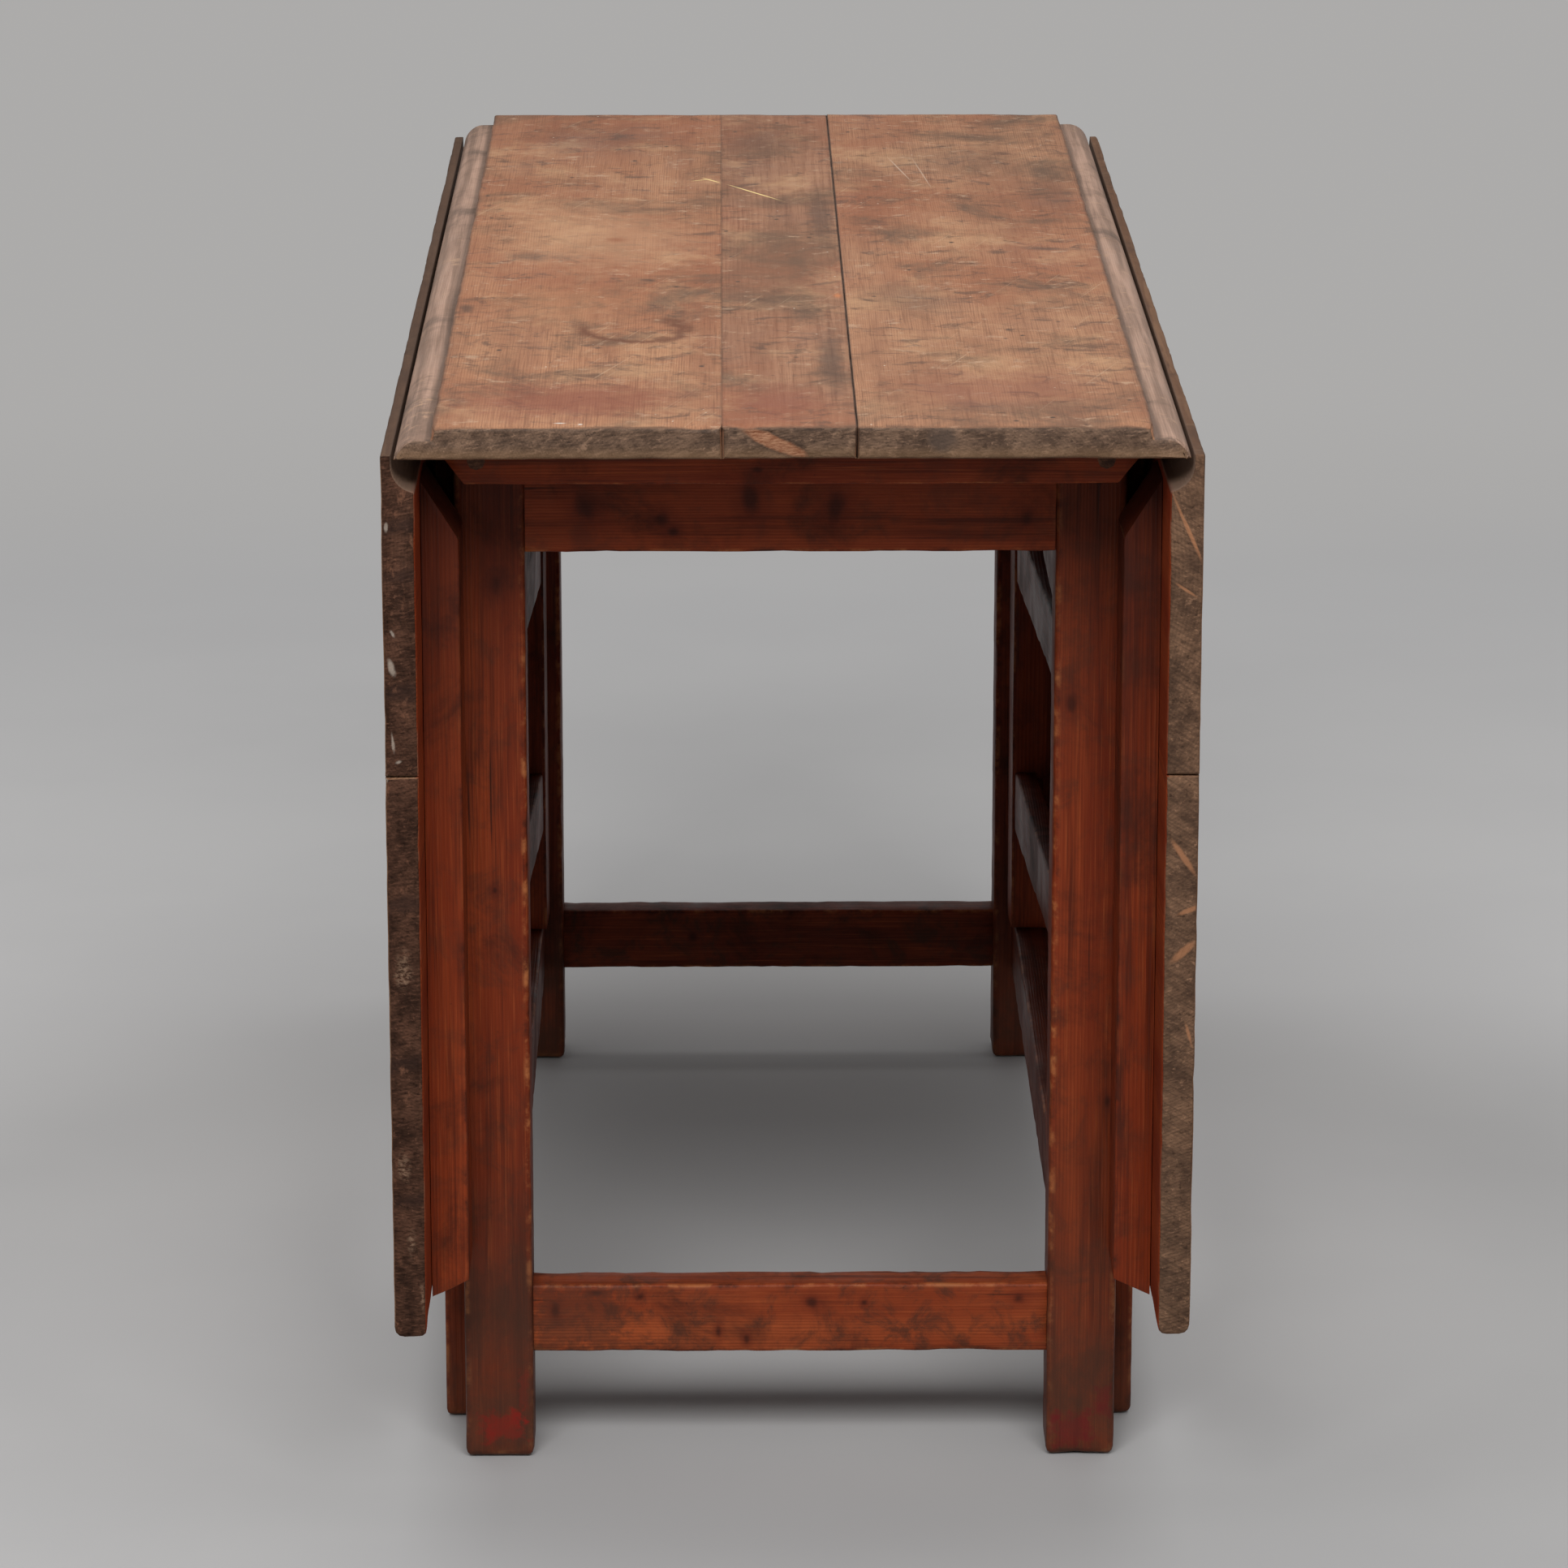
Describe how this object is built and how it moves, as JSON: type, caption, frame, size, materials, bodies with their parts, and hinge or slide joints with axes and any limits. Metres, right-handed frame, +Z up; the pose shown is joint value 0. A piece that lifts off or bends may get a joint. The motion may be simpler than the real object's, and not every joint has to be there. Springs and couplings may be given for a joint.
{
  "type": "drop leaf table",
  "caption": "Country drop-leaf table with rule-jointed hanging leaves, folded gate legs on pivot posts, square legs, aprons, stretchers and dovetailed battens.",
  "frame": {"origin": "centre of the footprint, on the floor", "axes": "+X to the right, +Y along the table away from the viewer, +Z up"},
  "size_m": [0.525, 1.215, 0.75],
  "materials": {
    "worn_pine": "worn, waxed",
    "red_stained_pine": "worn red-brown stain",
    "wrought_iron": "dark, hammered"
  },
  "bodies": {
    "frame": {"batten_pegs": "red_stained_pine", "end_apron_front": "red_stained_pine", "end_apron_rear": "red_stained_pine", "end_stretcher_front": "red_stained_pine", "end_stretcher_rear": "red_stained_pine", "hinge_left_front_pin": "wrought_iron", "hinge_left_front_top_plate": "wrought_iron", "hinge_left_rear_pin": "wrought_iron", "hinge_left_rear_top_plate": "wrought_iron", "hinge_right_front_pin": "wrought_iron", "hinge_right_front_top_plate": "wrought_iron", "hinge_right_rear_pin": "wrought_iron", "hinge_right_rear_top_plate": "wrought_iron", "leg_front_left": "red_stained_pine", "leg_front_right": "red_stained_pine", "leg_rear_left": "red_stained_pine", "leg_rear_right": "red_stained_pine", "side_apron_left": "red_stained_pine", "side_apron_right": "red_stained_pine", "side_stretcher_left": "red_stained_pine", "side_stretcher_right": "red_stained_pine", "top_batten_front": "red_stained_pine", "top_batten_rear": "red_stained_pine", "top_board_centre": "worn_pine", "top_board_left": "worn_pine", "top_board_right": "worn_pine"},
    "leaf_left": {"hinge_left_front_leaf_plate": "wrought_iron", "hinge_left_rear_leaf_plate": "wrought_iron", "leaf_left_batten_front": "red_stained_pine", "leaf_left_batten_rear": "red_stained_pine", "leaf_left_lower_board": "worn_pine", "leaf_left_upper_board": "worn_pine"},
    "leaf_right": {"hinge_right_front_leaf_plate": "wrought_iron", "hinge_right_rear_leaf_plate": "wrought_iron", "leaf_right_batten_front": "red_stained_pine", "leaf_right_batten_rear": "red_stained_pine", "leaf_right_lower_board": "worn_pine", "leaf_right_upper_board": "worn_pine"},
    "gate_left": {"gate_left_leg": "red_stained_pine", "gate_left_lower_rail": "red_stained_pine", "gate_left_post": "red_stained_pine", "gate_left_upper_rail": "red_stained_pine"},
    "gate_right": {"gate_right_leg": "red_stained_pine", "gate_right_lower_rail": "red_stained_pine", "gate_right_post": "red_stained_pine", "gate_right_upper_rail": "red_stained_pine"}
  },
  "joints": [
    {"name": "leaf_right_hinge", "type": "hinge", "parent": "frame", "child": "leaf_right", "pos_m": [0.2375, 0, 0.725], "axis": [0, -1, 0], "range_deg": [0, 90]},
    {"name": "leaf_left_hinge", "type": "hinge", "parent": "frame", "child": "leaf_left", "pos_m": [-0.2375, 0, 0.725], "axis": [0, 1, 0], "range_deg": [0, 90]},
    {"name": "gate_right_pivot", "type": "hinge", "parent": "frame", "child": "gate_right", "pos_m": [0.205, 0.39, 0.354], "axis": [0, 0, 1], "range_deg": [-1.15, 0]},
    {"name": "gate_left_pivot", "type": "hinge", "parent": "frame", "child": "gate_left", "pos_m": [-0.205, 0.39, 0.354], "axis": [0, 0, -1], "range_deg": [-1.15, 0]}
  ]
}
